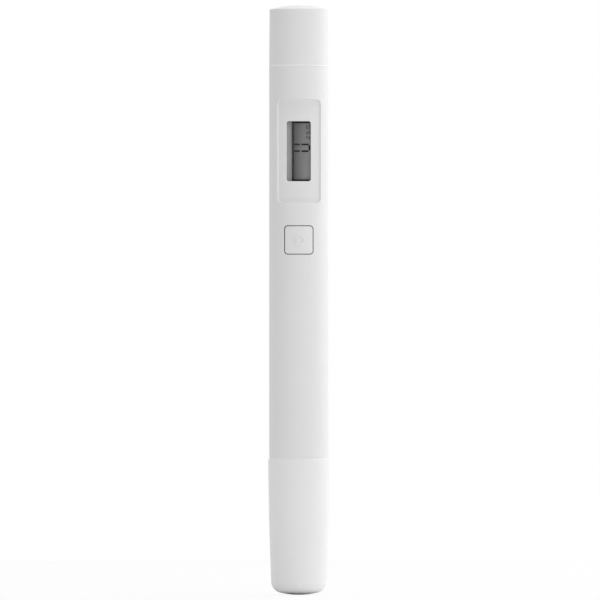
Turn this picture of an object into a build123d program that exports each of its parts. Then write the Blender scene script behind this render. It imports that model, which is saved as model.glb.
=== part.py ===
"""A pen-sized water tester: a straight tube with a pull-off cap at each end.

The pen stands upright on its probe cap. Z runs up its axis, X to the right of the
display, and Y from the display, which faces minus Y, to the back. Millimetres.
"""

from build123d import *
import math
import os

# Tube, from the probe cap's rim to the battery cap's seam
tube_radius = 7.6
tube_wall = 1.1
grip_length = 56.05
seam_gap = 0.15
edge_round = 0.2

# Probe cap: a barrel-sided cup with a shallow domed end
probe_cap_height = 34.8
probe_cap_rim_step = 0.25
probe_cap_waist_step = 0.03
probe_cap_foot_step = 0.6
probe_cap_end_dome = 21.0
probe_cap_end_round = 2.9
probe_cap_floor = 1.5
probe_cap_wall = 1.25
probe_cap_bore_length = 9.0
probe_cap_taper = 0.85
probe_cap_floor_bevel = 1.0
rim_round = 0.3
rim_lead_in = 0.25
snap_below_rim = 4.0
snap_height = 0.12
snap_length = 0.9
snap_clearance = 0.08

# Battery cap: a drafted cup with a sharp shoulder and a low crown
battery_cap_wall = 1.0
battery_cap_draft = 0.1
battery_cap_crown = 1.05
battery_cap_roof = 1.55
battery_cap_roof_gap = 0.2
battery_cap_shoulder_round = 0.12

# Counterbored seats at both ends of the tube
seat_ledge = 0.5
seat_depth = 1.2
seat_clearance = 0.05

# Display recess and window
recess_side_margin = 1.95
recess_end_margin = 2.25
recess_corner = 1.2
recess_depth = 1.4
recess_flattening = 2.4
recess_round = 0.5
window_width = 6.15
window_height = 15.35
window_corner = 0.6
pad_depth = 3.1
pad_overhang = 1.25

# Layers behind the window, front to back
lens_clearance = 0.05
lens_sink = 0.6
lens_flange_thickness = 0.7
lens_flange_margin = 1.0
mask_thickness = 0.4
rail_show = 1.325
mask_bar = 0.5
mask_right_bar = 0.75
mask_right_inset = 0.15
mask_end_overlap = 0.975
mask_end_show = 0.475
polarizer_thickness = 0.2
polarizer_inset = 0.1
glass_thickness = 0.7
glass_height = 22.0
reflector_thickness = 0.2
reflector_inset = 0.3
zebra_inset = 0.4
holder_edge_gap = 0.66
holder_side_wall = 0.4
holder_end_wall = 1.6
holder_clearance = 0.05
holder_divider = 0.4
peg_radius = 0.6
peg_clearance = 0.1

# Push button and the switch under it
button_side_margin = 3.85
button_opening_corner = 1.0
button_gap = 0.2
button_round = 0.25
button_sink = 0.03
button_flange_edge = 0.4
button_flange_overlap = 0.75
button_flange_gap = 0.2
button_flange_depth = 3.4
button_travel = 0.5
button_stem_radius = 1.2
button_stem_length = 0.55
plunger_gap = 0.05
plunger_radius = 1.7
plunger_rise = 1.0
plunger_foot_radius = 2.2
plunger_foot_thickness = 0.7
switch_width = 6.0
switch_corner = 0.5
switch_cover_thickness = 0.3
switch_clearance = 0.1
leg_width = 0.7
leg_thickness = 0.15
leg_reach = 1.2
leg_rise = 1.2
leg_spacing = 4.5
guide_thickness = 0.5
guide_leg = 0.8
guide_side_gap = 0.8
guide_gap = 0.1
screw_zone = 5.45

# Circuit board, its parts and the chassis behind it
board_front_y = 0.9
board_thickness = 1.0
board_edge_gap = 0.72
board_corner = 0.8
board_above_chassis = 3.0
board_above_display = 2.75
chassis_wall = 1.05
chassis_clearance = 0.1
chassis_rib_thickness = 1.0
chassis_rib_count = 5
chassis_rib_margin = 6.0
chassis_rib_notch = 3.0
boss_radius = 1.7
screw_radius = 0.75
screw_clearance = 0.05
screw_head_radius = 1.5
screw_head_height = 0.9
screw_tip_gap = 0.25
screw_slot_width = 0.45
screw_slot_depth = 0.4
chip_height = 1.2
chip_stand = 0.1
lead_pitch = 1.0
lead_width = 0.4
lead_thickness = 0.15
lead_shoulder = 0.35
lead_foot = 0.55
chip_gap = 1.0
processor_side_margin = 3.0
processor_length = 9.0
processor_leads_a_side = 8
amplifier_side_margin = 3.55
amplifier_length = 4.9
amplifier_leads_a_side = 4
passive_width = 0.8
passive_length = 1.6
passive_height = 0.5
passive_edge_margin = 0.9
passive_pitch = 3.3
resistor_count = 5
capacitor_count = 3
crystal_radius = 1.0
crystal_side_margin = 2.5

# Probe end: plug, neck, two pins and the temperature sleeve
plug_length = 8.8
neck_end_z = 17.0
neck_clearance = 0.2
neck_taper = 0.9
neck_straight = 8.0
neck_tip_bevel = 0.6
ring_section = 0.84
ring_groove_width = 1.0
ring_groove_clearance = 0.04
ring_squeeze_gap = 0.03
pin_radius = 0.85
pin_spacing = 5.0
pin_tip_z = 8.0
pin_tip_bevel = 0.3
pin_board_overlap = 4.0
pin_clearance = 0.03
solder_width = 2.4
solder_length = 3.0
solder_offset = 0.6
sensor_radius = 1.1
sensor_wall = 0.25
sensor_tip_z = 12.5
sensor_top_z = 31.0
bead_radius = 0.6
bead_gap = 0.05
wire_radius = 0.25
wire_spacing = 1.0
wire_solder_width = 0.7

# Battery end: holder, contacts and two button cells
cell_height = 5.4
cell_shoulder_bevel = 0.3
cell_crimp_bevel = 0.4
cell_rim_width = 1.5
cell_cap_rise = 0.25
cell_cap_depth = 0.9
cell_cap_bevel = 0.15
cell_seal_width = 0.35
cell_fit = 0.02
cell_play = 0.03
contact_thickness = 0.2
contact_edge_margin = 1.2
strip_width = 2.4
strip_clearance = 0.1
cradle_end_wall = 0.6
cradle_wall = 0.55
cradle_clearance = 0.1
cradle_gap = 0.15
cradle_front_y = -1.6
skirt_length = 5.2
skirt_wall = 1.3
deck_gap = 0.2
deck_height = 1.85
cell_lift = 0.17
ring_above_seam = 0.8
ring_cap_gap = 0.1
well_depth = 1.3
leaf_edge_margin = 1.3
leaf_front_y = -2.7
leaf_play = 0.02
tail_width = 2.0
tail_overlap = 2.1

# Radii and depths that follow from the tube
bore_radius = tube_radius - tube_wall
seat_radius = bore_radius + seat_ledge
plug_radius = bore_radius - seat_clearance
flange_radius = seat_radius - seat_clearance
chassis_radius = bore_radius - chassis_clearance
chassis_inner_radius = chassis_radius - chassis_wall
probe_cap_rim_radius = tube_radius + probe_cap_rim_step
probe_cap_waist_radius = tube_radius - probe_cap_waist_step
probe_cap_foot_radius = tube_radius - probe_cap_foot_step
probe_cap_bore_radius = probe_cap_rim_radius - probe_cap_wall
probe_cap_floor_radius = probe_cap_bore_radius - probe_cap_taper
neck_radius = probe_cap_bore_radius - neck_clearance
neck_tip_radius = neck_radius - neck_taper
plug_ring_radius = bore_radius - ring_squeeze_gap
battery_cap_bore_radius = tube_radius - battery_cap_wall
battery_cap_top_radius = tube_radius - battery_cap_draft
cap_ring_radius = battery_cap_bore_radius - ring_cap_gap
cradle_radius = battery_cap_bore_radius - cradle_gap
cradle_inner_radius = cradle_radius - cradle_wall
cell_radius = cradle_inner_radius - cradle_clearance
cell_cap_radius = cell_radius - cell_rim_width
contact_radius = cell_radius - contact_edge_margin
leaf_width = 2 * (cell_cap_radius - leaf_edge_margin)
strip_back_y = cradle_inner_radius + strip_clearance / 2 + contact_thickness


def half_chord(radius, y):
    """Half the width of a circle round the pen's axis at a depth."""
    return math.sqrt(radius**2 - y**2)


# Display layers from front to back, and their widths
pad_y = -tube_radius + pad_depth
recess_floor_y = -tube_radius + recess_depth
recess_floor_radius = tube_radius + recess_flattening
recess_width = 2 * (tube_radius - recess_side_margin)
recess_height = glass_height + 2 * recess_end_margin
lens_front_y = recess_floor_y + lens_sink
lens_back_y = pad_y + lens_flange_thickness
holder_front_y = lens_back_y + holder_clearance
mask_back_y = lens_back_y + mask_thickness
glass_front_y = mask_back_y + polarizer_thickness
glass_middle_y = glass_front_y + glass_thickness
glass_back_y = glass_middle_y + glass_thickness
reflector_back_y = glass_back_y + reflector_thickness
holder_width = 2 * (half_chord(bore_radius, holder_front_y) - holder_edge_gap)
holder_height = glass_height + 2 * (holder_clearance + holder_end_wall)
glass_width = holder_width - 2 * (holder_side_wall + holder_clearance)
glass_right = glass_width / 2
mask_left = rail_show - window_width / 2
mask_right = glass_right - mask_right_inset
mask_height = window_height + 2 * mask_end_overlap
mask_opening_height = window_height - 2 * mask_end_show
rear_glass_left = mask_left + holder_clearance
divider_right = rear_glass_left - holder_clearance
divider_left = divider_right - holder_divider
zebra_right = divider_left - holder_clearance
peg_offset = (holder_height - holder_end_wall) / 2

# Button, switch and board, from front to back
button_opening = 2 * (tube_radius - button_side_margin)
flange_front_radius = bore_radius - button_flange_gap
flange_back_y = -tube_radius + button_flange_depth
button_flange_width = 2 * (half_chord(flange_front_radius, flange_back_y) - button_flange_edge)
button_flange_height = button_opening + 2 * button_flange_overlap
guide_front_y = flange_back_y + button_travel + guide_gap
guide_height = switch_width + 2 * (guide_side_gap + guide_leg)
stem_end_y = flange_back_y + button_stem_length
plunger_front_y = stem_end_y + plunger_gap
cover_front_y = plunger_front_y + plunger_rise
base_front_y = cover_front_y + switch_cover_thickness
foot_front_y = base_front_y + plunger_gap
board_back_y = board_front_y + board_thickness
board_width = 2 * (half_chord(bore_radius, board_back_y) - board_edge_gap)
leaf_back_y = board_front_y
passive_x = board_width / 2 - passive_edge_margin
processor_width = board_width - 2 * processor_side_margin
amplifier_width = board_width - 2 * amplifier_side_margin
crystal_length = board_width - 2 * crystal_side_margin
screw_length = chassis_inner_radius - board_front_y - screw_tip_gap

# Heights from the probe cap's bottom at z = 0 up to the battery cap's crown
snap_z = probe_cap_height - snap_below_rim
tube_bottom_z = probe_cap_height + seam_gap
lower_seat_z = tube_bottom_z + seat_depth
plug_ring_z = lower_seat_z + plug_length / 2
plug_top_z = lower_seat_z + plug_length
chassis_bottom_z = plug_top_z + chassis_clearance
board_bottom_z = chassis_bottom_z + board_above_chassis
solder_z = board_bottom_z + solder_offset
pin_top_z = board_bottom_z + pin_board_overlap
button_z = probe_cap_height + grip_length
guide_bottom_z = button_z - guide_height / 2
guide_top_z = button_z + guide_height / 2
processor_z = guide_bottom_z - chip_gap - processor_length / 2
crystal_z = processor_z - processor_length / 2 - chip_gap - crystal_radius
amplifier_z = crystal_z - crystal_radius - chip_gap - amplifier_length / 2
lower_screw_z = amplifier_z - amplifier_length / 2 - chip_gap - screw_head_radius
upper_screw_z = guide_top_z + screw_zone / 2
display_z = guide_top_z + screw_zone + holder_height / 2
chassis_top_z = display_z + holder_height / 2 + board_above_display
strip_bottom_z = chassis_top_z - tail_overlap
skirt_bottom_z = chassis_top_z + chassis_clearance
upper_seat_z = skirt_bottom_z + skirt_length
tube_top_z = upper_seat_z + seat_depth
battery_seam_z = tube_top_z + seam_gap
cap_ring_z = battery_seam_z + ring_above_seam
deck_z = battery_seam_z + deck_height
well_floor_z = deck_z - well_depth
lower_cell_z = deck_z + cell_lift
upper_cell_z = lower_cell_z + cell_height
upper_cell_top_z = upper_cell_z + cell_height
cradle_end_z = upper_cell_top_z + cell_play + contact_thickness
cradle_top_z = cradle_end_z + cradle_end_wall
roof_z = cradle_top_z + battery_cap_roof_gap
overall_length = roof_z + battery_cap_roof


def rz(radius, height):
    """A point of an outline that is turned round the pen's axis."""
    return Vector(radius, 0, height)


def turned(*edges):
    """Turn a closed outline round the pen's axis."""
    return revolve(make_face(edges), Axis.Z)


def turned_outline(*points):
    """Turn a straight-sided outline of radius and height points."""
    corners = [rz(radius, height) for radius, height in points]
    return turned(Polyline(*corners, close=True))


def ring(outer, inner, low, high):
    return turned_outline((inner, low), (outer, low), (outer, high), (inner, high))


def bar(radius, low, high, x=0, y=0):
    """A round bar along Z."""
    column = Cylinder(radius, high - low, align=(Align.CENTER, Align.CENTER, Align.MIN))
    return Pos(x, y, low) * column


def block(x, y, z):
    """A box between pairs of limits."""
    size = Box(x[1] - x[0], y[1] - y[0], z[1] - z[0], align=Align.MIN)
    return Pos(x[0], y[0], z[0]) * size


def around(middle, size):
    """The limits of a size centred on a middle."""
    return (middle - size / 2, middle + size / 2)


def front_plane(x, y, z):
    """A plane square to Y, drawn as seen from the back, with Z across."""
    return Plane((x, y, z), x_dir=(0, 0, 1), z_dir=(0, 1, 0))


def prism(width, height, corner, y, x=0, z=0):
    """A round-cornered plate or block square to Y."""
    outline = front_plane(x, y[0], z) * RectangleRounded(height, width, corner)
    return extrude(outline, y[1] - y[0])


def rod(radius, y, x=0, z=0):
    """A round rod along Y."""
    return extrude(front_plane(x, y[0], z) * Circle(radius), y[1] - y[0])


def mirrored(shape):
    """The same solid on the other side of the YZ plane."""
    return mirror(shape, Plane.YZ)


def level_edges(shape, z):
    """The round edges of a solid that lie level at one height."""
    return [
        edge
        for edge in shape.edges().filter_by(GeomType.CIRCLE)
        if math.isclose((edge @ 0).Z, z, abs_tol=1e-6)
        and math.isclose((edge @ 0.5).Z, z, abs_tol=1e-6)
    ]


def rubber_ring(outer, z):
    """A ring with the given outer radius and an eight-sided section."""
    section = Plane.XZ * Pos(outer - ring_section / 2, z) * RegularPolygon(ring_section / 2, 8)
    return revolve(section, Axis.Z)


def rubber_ring_groove(outer, z):
    floor = outer - ring_section - ring_groove_clearance
    return ring(tube_radius, floor, *around(z, ring_groove_width))


def recess_cutter():
    """Straight walls, a floor flatter than the tube and a soft foot all round."""
    walls = prism(
        recess_width,
        recess_height,
        recess_corner,
        (-tube_radius - recess_depth, -tube_radius + 2 * recess_depth + pad_depth),
        z=display_z,
    )
    floor_axis_y = recess_floor_y + recess_floor_radius
    floor = bar(recess_floor_radius, tube_bottom_z, tube_top_z, y=floor_axis_y)
    cutter = walls - floor
    floor_face = cutter.faces().sort_by(Axis.Y)[-1]
    return fillet(floor_face.edges(), recess_round)


def main_tube():
    tube = bar(tube_radius, tube_bottom_z, tube_top_z)
    tube = fillet(tube.edges().filter_by(GeomType.CIRCLE), edge_round)
    tube -= bar(bore_radius, tube_bottom_z, tube_top_z)
    pad = bar(bore_radius, *around(display_z, recess_height + 2 * pad_overhang))
    front = (-tube_radius, pad_y)
    tube += pad & block(around(0, 2 * tube_radius), front, (tube_bottom_z, tube_top_z))
    tube -= bar(seat_radius, tube_bottom_z, lower_seat_z)
    tube -= bar(seat_radius, upper_seat_z, tube_top_z)
    tube -= recess_cutter()
    through = (-2 * tube_radius, 0)
    tube -= prism(window_width, window_height, window_corner, through, z=display_z)
    tube -= prism(button_opening, button_opening, button_opening_corner, through, z=button_z)
    return tube


def end_dome_height(radius):
    """The height of the probe cap's domed end at a radius."""
    return probe_cap_end_dome - math.sqrt(probe_cap_end_dome**2 - radius**2)


def probe_cap():
    rim = rz(probe_cap_rim_radius, probe_cap_height)
    waist = rz(probe_cap_waist_radius, probe_cap_height / 2)
    foot_z = end_dome_height(probe_cap_foot_radius)
    foot = rz(probe_cap_foot_radius, foot_z)
    halfway = probe_cap_foot_radius / 2
    cap = turned(
        ThreePointArc(foot, waist, rim),
        Polyline(rim, rz(0, probe_cap_height), rz(0, 0)),
        ThreePointArc(rz(0, 0), rz(halfway, end_dome_height(halfway)), foot),
    )
    cap = fillet(level_edges(cap, foot_z), probe_cap_end_round)
    cap = fillet(level_edges(cap, probe_cap_height), rim_round)
    bore_end = probe_cap_height - probe_cap_bore_length
    hollow = turned_outline(
        (0, probe_cap_floor),
        (probe_cap_floor_radius, probe_cap_floor),
        (probe_cap_bore_radius, bore_end),
        (probe_cap_bore_radius, probe_cap_height - rim_lead_in),
        (probe_cap_bore_radius + rim_lead_in, probe_cap_height),
        (0, probe_cap_height),
    )
    hollow = chamfer(level_edges(hollow, probe_cap_floor), probe_cap_floor_bevel)
    groove_radius = probe_cap_bore_radius + snap_height
    groove_length = snap_length + 2 * snap_clearance
    hollow += ring(groove_radius, neck_radius, *around(snap_z, groove_length))
    return cap - hollow


def battery_cap():
    shoulder_z = overall_length - battery_cap_crown
    shoulder = rz(battery_cap_top_radius, shoulder_z)
    crown = rz(0, overall_length)
    halfway = battery_cap_top_radius / 2
    crown_point = rz(halfway, overall_length - battery_cap_crown / 4)
    cap = turned(
        Polyline(crown, rz(0, battery_seam_z), rz(tube_radius, battery_seam_z), shoulder),
        ThreePointArc(shoulder, crown_point, crown),
    )
    cap = fillet(level_edges(cap, shoulder_z), battery_cap_shoulder_round)
    cap = fillet(level_edges(cap, battery_seam_z), edge_round)
    return cap - bar(battery_cap_bore_radius, battery_seam_z, roof_z)


def display_window():
    """The clear lens: a block in the opening on a flange glued behind the wall."""
    flange = prism(
        window_width + 2 * lens_flange_margin,
        window_height + 2 * lens_flange_margin,
        window_corner,
        (pad_y, lens_back_y),
        z=display_z,
    )
    lens = prism(
        window_width - 2 * lens_clearance,
        window_height - 2 * lens_clearance,
        window_corner - lens_clearance,
        (lens_front_y, lens_back_y),
        z=display_z,
    )
    return flange + lens


def display_mask():
    layer = (lens_back_y, mask_back_y)
    frame = block((mask_left, mask_right), layer, around(display_z, mask_height))
    opening = (mask_left + mask_bar, mask_right - mask_right_bar)
    return frame - block(opening, layer, around(display_z, mask_opening_height))


def front_polarizer():
    return block(
        (mask_left + polarizer_inset, mask_right - polarizer_inset),
        (mask_back_y, glass_front_y),
        around(display_z, mask_height - 2 * polarizer_inset),
    )


def lcd_front_glass():
    layer = (glass_front_y, glass_middle_y)
    return block(around(0, glass_width), layer, around(display_z, glass_height))


def lcd_rear_glass():
    layer = (glass_middle_y, glass_back_y)
    return block((rear_glass_left, glass_right), layer, around(display_z, glass_height))


def rear_reflector():
    return block(
        (rear_glass_left + reflector_inset, glass_right - reflector_inset),
        (glass_back_y, reflector_back_y),
        around(display_z, glass_height - 2 * reflector_inset),
    )


def display_cushion():
    """The foam that presses the display against the window."""
    return block(
        (rear_glass_left + reflector_inset, glass_right - reflector_inset),
        (reflector_back_y, board_front_y),
        around(display_z, glass_height - 2 * reflector_inset),
    )


def zebra_strip():
    """The rubber strip that joins the display's contacts to the board."""
    width = (zebra_inset - glass_right, zebra_right)
    layer = (glass_middle_y, board_front_y)
    return block(width, layer, around(display_z, glass_height - 2 * zebra_inset))


def peg_positions():
    return (display_z - peg_offset, display_z + peg_offset)


def display_holder():
    """A moulded frame: open to the board, with a rail over the contact edge."""
    holder = block(
        around(0, holder_width),
        (holder_front_y, board_front_y),
        around(display_z, holder_height),
    )
    pocket_height = glass_height + 2 * holder_clearance
    holder -= block(
        around(0, glass_width + 2 * holder_clearance),
        (glass_front_y, board_front_y),
        around(display_z, pocket_height),
    )
    holder -= block(
        (mask_left - holder_clearance, mask_right + holder_clearance),
        (holder_front_y, glass_front_y),
        around(display_z, mask_height + 2 * holder_clearance),
    )
    holder += block(
        (divider_left, divider_right),
        (glass_middle_y + holder_clearance, board_front_y),
        around(display_z, pocket_height),
    )
    for z in peg_positions():
        holder += rod(peg_radius, (board_front_y, board_back_y), z=z)
    return holder


def push_button():
    """A square key that follows the tube's curve, on a flange wider than its opening."""
    key_size = button_opening - 2 * button_gap
    depth = (-2 * tube_radius, flange_back_y)
    key = prism(key_size, key_size, button_opening_corner - button_gap, depth, z=button_z)
    key &= bar(tube_radius - button_sink, *around(button_z, 2 * button_opening))
    key = fillet(key.faces().sort_by(Axis.Y)[0].edges(), button_round)
    flange = prism(
        button_flange_width,
        button_flange_height,
        button_opening_corner,
        depth,
        z=button_z,
    )
    flange &= bar(flange_front_radius, *around(button_z, 2 * button_opening))
    stem = rod(button_stem_radius, (flange_back_y, stem_end_y), z=button_z)
    return key + flange + stem


def button_guide():
    """The bridge over the switch that stops the key and steers its stem."""
    outer = block(
        around(0, button_flange_width),
        (guide_front_y, board_front_y),
        around(button_z, guide_height),
    )
    inner = block(
        around(0, button_flange_width),
        (guide_front_y + guide_thickness, board_front_y),
        around(button_z, guide_height - 2 * guide_leg),
    )
    hole = rod(plunger_radius + switch_clearance, (guide_front_y, board_front_y), z=button_z)
    return outer - inner - hole


def switch_base():
    base = prism(
        switch_width,
        switch_width,
        switch_corner,
        (base_front_y, board_front_y),
        z=button_z,
    )
    well_depth_y = plunger_foot_thickness + button_travel + 2 * plunger_gap + switch_clearance
    well = (base_front_y, base_front_y + well_depth_y)
    return base - rod(plunger_foot_radius + switch_clearance, well, z=button_z)


def switch_cover():
    layer = (cover_front_y, base_front_y)
    cover = prism(switch_width, switch_width, switch_corner, layer, z=button_z)
    return cover - rod(plunger_radius + switch_clearance, layer, z=button_z)


def switch_plunger():
    foot_back_y = foot_front_y + plunger_foot_thickness
    stem = rod(plunger_radius, (plunger_front_y, foot_back_y), z=button_z)
    return stem + rod(plunger_foot_radius, (foot_front_y, foot_back_y), z=button_z)


def switch_legs():
    side = switch_width / 2
    legs = []
    for z in around(button_z, leg_spacing):
        span = around(z, leg_width)
        upright = block((side, side + leg_thickness), (board_front_y - leg_rise, board_front_y), span)
        foot = block((side, side + leg_reach), (board_front_y - leg_thickness, board_front_y), span)
        leg = upright + foot
        legs += [leg, mirrored(leg)]
    return Compound(legs)


def circuit_board():
    middle_z = (board_bottom_z + chassis_top_z) / 2
    layer = (board_front_y, board_back_y)
    board = prism(board_width, chassis_top_z - board_bottom_z, board_corner, layer, z=middle_z)
    for z in (lower_screw_z, upper_screw_z):
        board -= rod(screw_radius + peg_clearance, layer, z=z)
    for z in peg_positions():
        board -= rod(peg_radius + peg_clearance, layer, z=z)
    return board


def chip(width, length, z):
    top_y = board_front_y - chip_stand - chip_height
    return block(around(0, width), (top_y, board_front_y - chip_stand), around(z, length))


def gull_lead(side, z):
    """One bent lead from a chip's side down to the board."""
    span = around(z, lead_width)
    high_y = board_front_y - chip_stand - chip_height / 2
    bend = side + lead_shoulder
    shoulder = block((side, bend), (high_y, high_y + lead_thickness), span)
    drop = block((bend - lead_thickness, bend), (high_y, board_front_y), span)
    foot = block(
        (bend - lead_thickness, bend + lead_foot),
        (board_front_y - lead_thickness, board_front_y),
        span,
    )
    return shoulder + drop + foot


def chip_leads(width, z, leads_a_side):
    leads = []
    for index in range(leads_a_side):
        lead_z = z + (index - (leads_a_side - 1) / 2) * lead_pitch
        lead = gull_lead(width / 2, lead_z)
        leads += [lead, mirrored(lead)]
    return Compound(leads)


def passive_row(x, middle_z, count):
    """Small two-ended parts in a row up the board."""
    layer = (board_front_y - passive_height, board_front_y)
    row = []
    for index in range(count):
        z = middle_z + (index - (count - 1) / 2) * passive_pitch
        row.append(block(around(x, passive_width), layer, around(z, passive_length)))
    return Compound(row)


def timing_crystal():
    axis_y = board_front_y - crystal_radius
    plane = Plane((-crystal_length / 2, axis_y, crystal_z), x_dir=(0, 1, 0), z_dir=(1, 0, 0))
    return extrude(plane * Circle(crystal_radius), crystal_length)


def chassis():
    """A half trough behind the board, with ribs and two screw bosses."""
    behind_board = block(
        around(0, 2 * tube_radius),
        (board_back_y, tube_radius),
        (chassis_bottom_z, chassis_top_z),
    )
    trough = ring(chassis_radius, chassis_inner_radius, chassis_bottom_z, chassis_top_z)
    first_rib = chassis_bottom_z + chassis_rib_margin
    rib_pitch = (chassis_top_z - chassis_rib_margin - first_rib) / (chassis_rib_count - 1)
    for index in range(chassis_rib_count):
        span = around(first_rib + index * rib_pitch, chassis_rib_thickness)
        rib = bar(chassis_radius, *span)
        trough += rib - bar(chassis_rib_notch, *span, y=board_back_y)
    for z in (lower_screw_z, upper_screw_z):
        trough += rod(boss_radius, (board_back_y, chassis_inner_radius), z=z)
    trough &= behind_board
    for z in (lower_screw_z, upper_screw_z):
        pilot = (board_back_y, board_front_y + screw_length + screw_clearance)
        trough -= rod(screw_radius + screw_clearance, pilot, z=z)
    return trough


def chassis_screws():
    screws = []
    for z in (lower_screw_z, upper_screw_z):
        head_y = board_front_y - screw_head_height
        head = rod(screw_head_radius, (head_y, board_front_y), z=z)
        slot = block(
            around(0, 2 * screw_head_radius),
            (head_y, head_y + screw_slot_depth),
            around(z, screw_slot_width),
        )
        shank = rod(screw_radius, (board_front_y, board_front_y + screw_length), z=z)
        screws.append(head + shank - slot)
    return Compound(screws)


def probe_housing():
    """The plug in the tube and the neck that the probe cap slides over."""
    taper_start_z = tube_bottom_z - neck_straight
    housing = turned_outline(
        (0, neck_end_z),
        (neck_tip_radius, neck_end_z),
        (neck_radius, taper_start_z),
        (neck_radius, tube_bottom_z),
        (flange_radius, tube_bottom_z),
        (flange_radius, lower_seat_z),
        (plug_radius, lower_seat_z),
        (plug_radius, plug_top_z),
        (0, plug_top_z),
    )
    housing = chamfer(level_edges(housing, neck_end_z), neck_tip_bevel)
    low, high = around(snap_z, snap_length)
    bead_radius_out = neck_radius + snap_height
    housing += turned_outline(
        (neck_radius - snap_height, low),
        (neck_radius, low),
        (bead_radius_out, low + 2 * snap_height),
        (bead_radius_out, high - 2 * snap_height),
        (neck_radius, high),
        (neck_radius - snap_height, high),
    )
    housing -= rubber_ring_groove(plug_ring_radius, plug_ring_z)
    for x in around(0, pin_spacing):
        housing -= bar(pin_radius + pin_clearance, neck_end_z, plug_top_z, x=x)
    housing -= bar(sensor_radius + pin_clearance, neck_end_z, plug_top_z)
    return housing


def probe_pin(x):
    pin = bar(pin_radius, pin_tip_z, pin_top_z, x=x)
    return chamfer(level_edges(pin, pin_tip_z), pin_tip_bevel)


def temperature_sleeve():
    """A thin metal sleeve with a round closed tip."""
    tip_centre_z = sensor_tip_z + sensor_radius
    bore = sensor_radius - sensor_wall
    sleeve = bar(sensor_radius, tip_centre_z, sensor_top_z)
    sleeve += Pos(0, 0, tip_centre_z) * Sphere(sensor_radius)
    sleeve -= bar(bore, tip_centre_z, sensor_top_z)
    return sleeve - Pos(0, 0, tip_centre_z) * Sphere(bore)


def bead_centre_z():
    return sensor_tip_z + sensor_wall + bead_gap + bead_radius


def thermistor_bead():
    return Pos(0, 0, bead_centre_z()) * Sphere(bead_radius)


def sensor_wires():
    start_z = bead_centre_z() + bead_radius + bead_gap
    return Compound([bar(wire_radius, start_z, pin_top_z, x=x) for x in around(0, wire_spacing)])


def solder_joints(radius, spacing, width):
    """Solder from the board's face round each lead."""
    joints = []
    span = (solder_z, solder_z + solder_length)
    for x in around(0, spacing):
        joint = block(around(x, width), (-radius, board_front_y), span)
        joints.append(joint - bar(radius + cell_fit, *span, x=x))
    return Compound(joints)


def battery_holder():
    """A collar in the tube's top, its deck, and a cradle open at the front."""
    deck_radius = battery_cap_bore_radius - deck_gap
    holder = turned_outline(
        (plug_radius - skirt_wall, skirt_bottom_z),
        (plug_radius, skirt_bottom_z),
        (plug_radius, upper_seat_z),
        (flange_radius, upper_seat_z),
        (flange_radius, tube_top_z),
        (deck_radius, tube_top_z),
        (deck_radius, deck_z),
        (0, deck_z),
        (0, upper_seat_z),
        (plug_radius - skirt_wall, upper_seat_z),
    )
    holder -= rubber_ring_groove(cap_ring_radius, cap_ring_z)
    open_front = block(
        around(0, 2 * tube_radius),
        (cradle_front_y, tube_radius),
        (deck_z, cradle_end_z),
    )
    holder += ring(cradle_radius, cradle_inner_radius, deck_z, cradle_end_z) & open_front
    holder += bar(cradle_radius, cradle_end_z, cradle_top_z)
    slot_x = around(0, strip_width + 2 * strip_clearance)
    channel_floor_z = deck_z - contact_thickness - strip_clearance
    tail_front_y = board_back_y - strip_clearance
    holder -= block(slot_x, (cradle_inner_radius - strip_clearance, tube_radius), (channel_floor_z, cradle_end_z))
    holder -= block(slot_x, (tail_front_y, tube_radius), (channel_floor_z, deck_z))
    tail_slot_y = (tail_front_y, board_back_y + contact_thickness + strip_clearance)
    holder -= block(slot_x, tail_slot_y, (upper_seat_z, deck_z))
    well_y = (leaf_front_y - strip_clearance, leaf_back_y + strip_clearance)
    well_x = around(0, leaf_width + 2 * strip_clearance)
    holder -= block(well_x, well_y, (well_floor_z, deck_z))
    leaf_slot_y = (leaf_back_y - contact_thickness - strip_clearance, leaf_back_y + strip_clearance)
    leaf_slot_x = around(0, tail_width + 2 * strip_clearance)
    holder -= block(leaf_slot_x, leaf_slot_y, (upper_seat_z, deck_z))
    return holder


def battery_strip():
    """The upper contact: a plate over the cells and a strip down to the board."""
    plate_z = (cradle_end_z - contact_thickness, cradle_end_z)
    width = around(0, strip_width)
    jog_z = (deck_z - contact_thickness - strip_clearance / 2, deck_z - strip_clearance / 2)
    strip = bar(contact_radius, *plate_z)
    strip += block(width, (0, strip_back_y), plate_z)
    strip += block(width, (strip_back_y - contact_thickness, strip_back_y), (jog_z[0], plate_z[1]))
    strip += block(width, (board_back_y, strip_back_y), jog_z)
    tail_y = (board_back_y, board_back_y + contact_thickness)
    strip += block(width, tail_y, (strip_bottom_z, jog_z[1]))
    return strip


def battery_leaf():
    """The lower contact: a bowed leaf in the deck's well and a tail to the board."""
    plate_top_z = well_floor_z + contact_thickness
    plate = block(around(0, leaf_width), (leaf_front_y, leaf_back_y), (well_floor_z, plate_top_z))
    tail_y = (leaf_back_y - contact_thickness, leaf_back_y)
    tail = block(around(0, tail_width), tail_y, (strip_bottom_z, plate_top_z))
    top_z = lower_cell_z - leaf_play
    half = leaf_width / 2 - contact_thickness
    bow_y = leaf_front_y + contact_thickness
    outer = ThreePointArc((-half, bow_y, plate_top_z), (0, bow_y, top_z), (half, bow_y, plate_top_z))
    inner_half = half - 2 * contact_thickness
    inner = ThreePointArc(
        (inner_half, bow_y, plate_top_z),
        (0, bow_y, top_z - contact_thickness),
        (-inner_half, bow_y, plate_top_z),
    )
    right_end = Line((half, bow_y, plate_top_z), (inner_half, bow_y, plate_top_z))
    left_end = Line((-inner_half, bow_y, plate_top_z), (-half, bow_y, plate_top_z))
    bow_face = make_face([outer, right_end, inner, left_end])
    bow_length = leaf_back_y - contact_thickness - bow_y
    bow = extrude(bow_face, bow_length, dir=(0, 1, 0))
    return plate + tail + bow


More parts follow.
